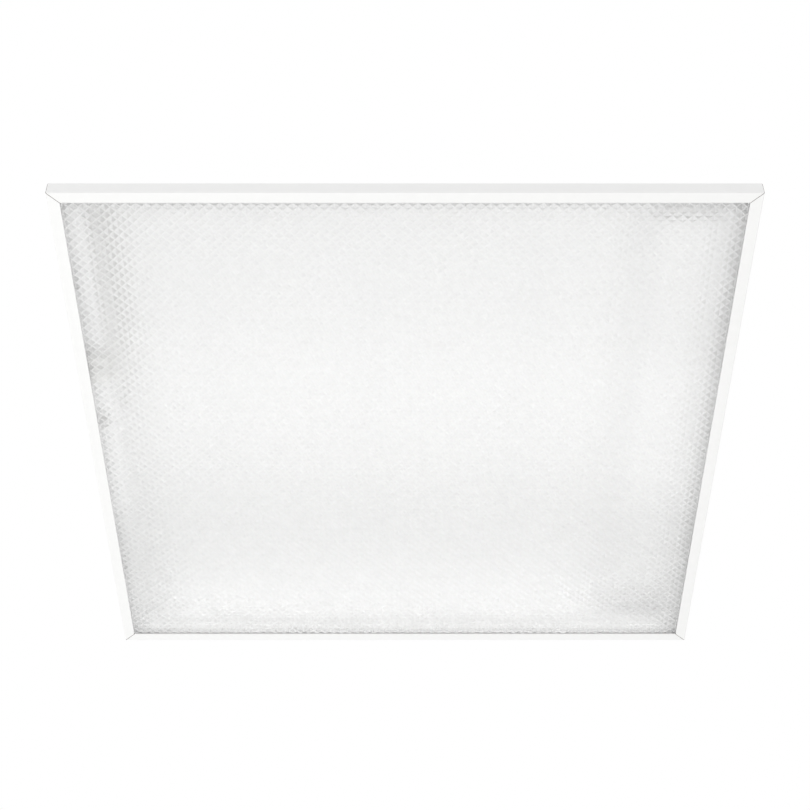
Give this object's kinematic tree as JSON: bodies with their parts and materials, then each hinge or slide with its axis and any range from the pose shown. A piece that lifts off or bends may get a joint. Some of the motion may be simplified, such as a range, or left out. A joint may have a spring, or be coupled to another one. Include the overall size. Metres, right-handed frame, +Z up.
{
  "type": "recessed troffer light",
  "caption": "Square recessed ceiling light with a shallow steel housing, light boards, swing-out clamps and a hinged mitred frame that holds a clear prismatic lens.",
  "frame": {"origin": "middle of the ceiling cut-out, in the plane of the ceiling's underside, where the housing's flange bears", "axes": "+Z up into the ceiling void, +X towards the hinge side, +Y towards the far edge; the lens faces -Z"},
  "size_m": [0.595, 0.595, 0.0479],
  "materials": {
    "frame_white": "satin white powder coat on extruded aluminium",
    "key_metal": "die-cast, plain",
    "clear_lens": "clear moulded prismatic sheet, pyramids on the room side",
    "plated_steel": "bright zinc plate",
    "spring_steel": "plain spring steel",
    "sheet_white": "white powder coat on steel sheet",
    "board_white": "white solder mask on aluminium-backed board",
    "led_phosphor": "pale yellow phosphor in a white package",
    "white_nylon": "white nylon",
    "driver_case": "white moulded case",
    "terminal_grey": "grey moulded plastic with dark entries",
    "grommet_rubber": "light grey rubber",
    "lead_sleeve": "white insulation",
    "clamp_nylon": "natural nylon"
  },
  "bodies": {
    "housing": {"housing_tray": "sheet_white", "end_plate_near": "sheet_white", "end_plate_far": "sheet_white", "board_rivets": "white_nylon", "board_connectors": "white_nylon", "led_driver": "driver_case", "driver_screws": "plated_steel", "gear_cover": "sheet_white", "cover_screws": "plated_steel", "terminal_block": "terminal_grey", "cable_grommet": "grommet_rubber", "earth_screw": "plated_steel", "supply_leads": "lead_sleeve", "board_leads": "lead_sleeve", "lead_clips": "white_nylon", "led_board_1": "board_white", "led_board_2": "board_white", "led_board_3": "board_white", "led_board_4": "board_white", "led_packages_1": "led_phosphor", "led_packages_2": "led_phosphor", "led_packages_3": "led_phosphor", "led_packages_4": "led_phosphor", "hinge_bracket_near": "plated_steel", "hinge_bracket_far": "plated_steel", "hinge_pin_near": "plated_steel", "hinge_pin_far": "plated_steel", "catch_clip_near": "spring_steel", "catch_clip_far": "spring_steel", "clamp_screw_near_left": "plated_steel", "clamp_screw_near_right": "plated_steel", "clamp_screw_far_left": "plated_steel", "clamp_screw_far_right": "plated_steel"},
    "lens_frame": {"frame_side_near": "frame_white", "frame_side_right": "frame_white", "frame_side_far": "frame_white", "frame_side_left": "frame_white", "corner_key_near_left": "key_metal", "corner_key_near_right": "key_metal", "corner_key_far_right": "key_metal", "corner_key_far_left": "key_metal", "prismatic_lens": "clear_lens", "hinge_leaf_near": "plated_steel", "hinge_leaf_far": "plated_steel", "catch_blade_near": "plated_steel", "catch_blade_far": "plated_steel"},
    "clamp_carrier_near_left": {"clamp_carrier_near_left": "plated_steel"},
    "clamp_arm_near_left": {"clamp_arm_near_left": "clamp_nylon"},
    "clamp_carrier_near_right": {"clamp_carrier_near_right": "plated_steel"},
    "clamp_arm_near_right": {"clamp_arm_near_right": "clamp_nylon"},
    "clamp_carrier_far_left": {"clamp_carrier_far_left": "plated_steel"},
    "clamp_arm_far_left": {"clamp_arm_far_left": "clamp_nylon"},
    "clamp_carrier_far_right": {"clamp_carrier_far_right": "plated_steel"},
    "clamp_arm_far_right": {"clamp_arm_far_right": "clamp_nylon"}
  },
  "joints": [
    {"name": "lens_frame_hinge", "type": "hinge", "parent": "housing", "child": "lens_frame", "pos_m": [0.2937, 0, -0.0038], "axis": [0, -1, 0], "range_deg": [0, 90]},
    {"name": "clamp_travel_near_left", "type": "slide", "parent": "housing", "child": "clamp_carrier_near_left", "axis": [0, 0, -1], "range_m": [0, 0.012]},
    {"name": "clamp_swing_near_left", "type": "hinge", "parent": "clamp_carrier_near_left", "child": "clamp_arm_near_left", "pos_m": [-0.28, -0.15, 0.024], "axis": [0, 0, 1], "range_deg": [0, 90]},
    {"name": "clamp_travel_near_right", "type": "slide", "parent": "housing", "child": "clamp_carrier_near_right", "axis": [0, 0, -1], "range_m": [0, 0.012]},
    {"name": "clamp_swing_near_right", "type": "hinge", "parent": "clamp_carrier_near_right", "child": "clamp_arm_near_right", "pos_m": [0.28, -0.15, 0.024], "axis": [0, 0, -1], "range_deg": [0, 90]},
    {"name": "clamp_travel_far_left", "type": "slide", "parent": "housing", "child": "clamp_carrier_far_left", "axis": [0, 0, -1], "range_m": [0, 0.012]},
    {"name": "clamp_swing_far_left", "type": "hinge", "parent": "clamp_carrier_far_left", "child": "clamp_arm_far_left", "pos_m": [-0.28, 0.15, 0.024], "axis": [0, 0, -1], "range_deg": [0, 90]},
    {"name": "clamp_travel_far_right", "type": "slide", "parent": "housing", "child": "clamp_carrier_far_right", "axis": [0, 0, -1], "range_m": [0, 0.012]},
    {"name": "clamp_swing_far_right", "type": "hinge", "parent": "clamp_carrier_far_right", "child": "clamp_arm_far_right", "pos_m": [0.28, 0.15, 0.024], "axis": [0, 0, 1], "range_deg": [0, 90]}
  ]
}
